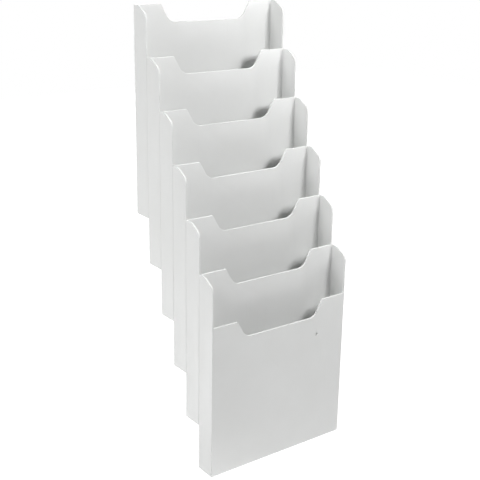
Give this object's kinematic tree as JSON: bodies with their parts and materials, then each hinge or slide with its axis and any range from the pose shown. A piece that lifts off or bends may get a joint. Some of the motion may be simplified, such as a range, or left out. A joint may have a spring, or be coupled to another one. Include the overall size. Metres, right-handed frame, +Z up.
{
  "type": "vertical file sorter",
  "caption": "Wall-hung cascade of upright A4 document pockets that step down and forwards, with trapezoidal finger cut-outs and hooked, lift-off trays.",
  "frame": {"origin": "on the wall plane, midway between the two keyhole screws", "axes": "+Z up, +Y into the wall, the pockets step forwards along -Y, +X right as seen from the front"},
  "size_m": [0.24, 0.2343, 0.645],
  "materials": {
    "white_plastic": "satin moulded white polystyrene",
    "zinc_steel": "zinc plated",
    "grey_nylon": "moulded"
  },
  "bodies": {
    "wall_tray": {"rear_pocket": "white_plastic", "wall_screw_left": "zinc_steel", "wall_screw_right": "zinc_steel", "wall_screw_lower": "zinc_steel", "wall_plug_left": "grey_nylon", "wall_plug_right": "grey_nylon", "wall_plug_lower": "grey_nylon"},
    "tray_2": {"pocket_2": "white_plastic"},
    "tray_3": {"pocket_3": "white_plastic"},
    "tray_4": {"pocket_4": "white_plastic"},
    "tray_5": {"pocket_5": "white_plastic"},
    "front_tray": {"front_pocket": "white_plastic"}
  },
  "joints": [
    {"name": "pocket_2_lift", "type": "slide", "parent": "wall_tray", "child": "tray_2", "axis": [0, 0, 1], "range_m": [0, 0.01]},
    {"name": "pocket_3_lift", "type": "slide", "parent": "tray_2", "child": "tray_3", "axis": [0, 0, 1], "range_m": [0, 0.01]},
    {"name": "pocket_4_lift", "type": "slide", "parent": "tray_3", "child": "tray_4", "axis": [0, 0, 1], "range_m": [0, 0.01]},
    {"name": "pocket_5_lift", "type": "slide", "parent": "tray_4", "child": "tray_5", "axis": [0, 0, 1], "range_m": [0, 0.01]},
    {"name": "front_pocket_lift", "type": "slide", "parent": "tray_5", "child": "front_tray", "axis": [0, 0, 1], "range_m": [0, 0.01]}
  ]
}
